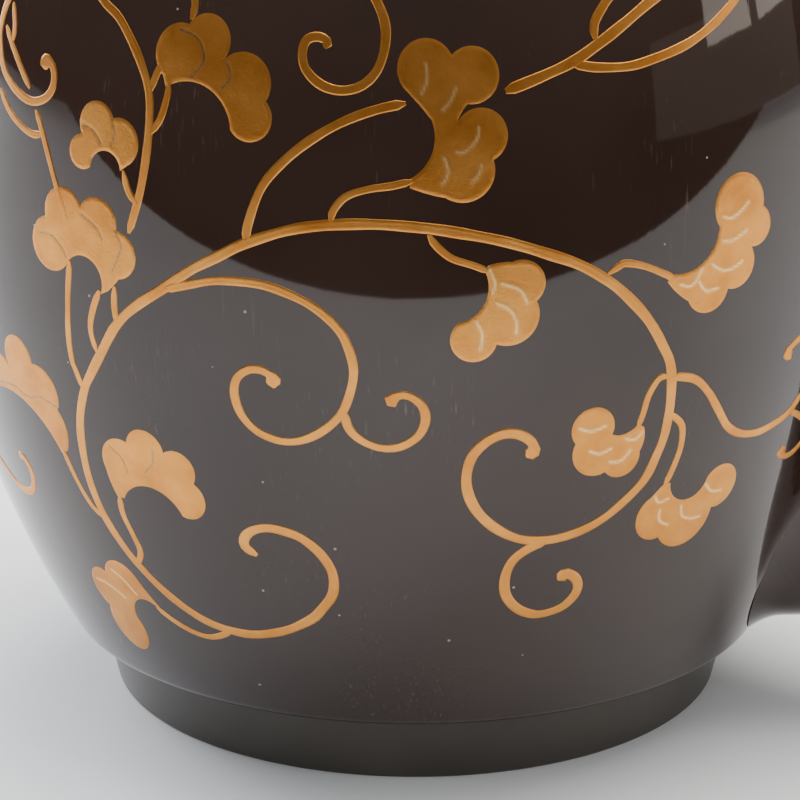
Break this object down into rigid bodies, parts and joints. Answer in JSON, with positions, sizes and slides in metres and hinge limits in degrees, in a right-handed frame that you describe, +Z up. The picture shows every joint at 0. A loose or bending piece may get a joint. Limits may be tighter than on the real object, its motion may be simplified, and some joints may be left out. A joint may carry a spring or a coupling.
{
  "type": "lidded lacquer ewer",
  "caption": "Round-bellied black lacquer hot-water ewer with gold vine scrolls, a low foot ring, curved side spout, lift-off domed lid and swinging bail handle.",
  "frame": {"origin": "centre of the plane that the foot ring stands on", "axes": "+Z up along the body's turning axis, +X towards the spout; the bail swings about a line along X"},
  "size_m": [0.2662, 0.1909, 0.2737],
  "materials": {
    "roiro_lacquer": "black-brown urushi lacquer on turned wood, polished to a mirror gloss",
    "foot_lacquer": "black urushi lacquer on turned wood, satin from handling",
    "inner_lacquer": "plain black urushi lacquer, semi-gloss",
    "bare_wood": "bare cypress peg",
    "gilt_copper": "fire-gilt copper, softly worn",
    "gold_maki_e": "raised drawing in gold powder sprinkled on lacquer, polished"
  },
  "bodies": {
    "vessel": {"foot_ring": "foot_lacquer", "body_shell": "roiro_lacquer", "shoulder_ring": "roiro_lacquer", "mouth_rim": "roiro_lacquer", "spout_near_half": "roiro_lacquer", "spout_far_half": "roiro_lacquer", "lug_front": "gilt_copper", "lug_rear": "gilt_copper", "lug_washer_front": "gilt_copper", "lug_washer_rear": "gilt_copper"},
    "lid": {"lid_plate": "roiro_lacquer", "lid_flange": "inner_lacquer", "knob_rosette": "gilt_copper", "lid_knob": "roiro_lacquer", "knob_peg": "bare_wood"},
    "bail": {"bail_arch": "roiro_lacquer", "ferrule_front": "gilt_copper", "ferrule_rear": "gilt_copper", "hinge_pin_front": "gilt_copper", "hinge_pin_rear": "gilt_copper", "ferrule_rivets": "gilt_copper"}
  },
  "joints": [
    {"name": "lid_lift", "type": "slide", "parent": "vessel", "child": "lid", "axis": [0, 0, 1], "range_m": [0, 0.045]},
    {"name": "bail_swing", "type": "hinge", "parent": "vessel", "child": "bail", "pos_m": [0, 0, 0.17375], "axis": [1, 0, 0], "range_deg": [-95, 95]}
  ]
}
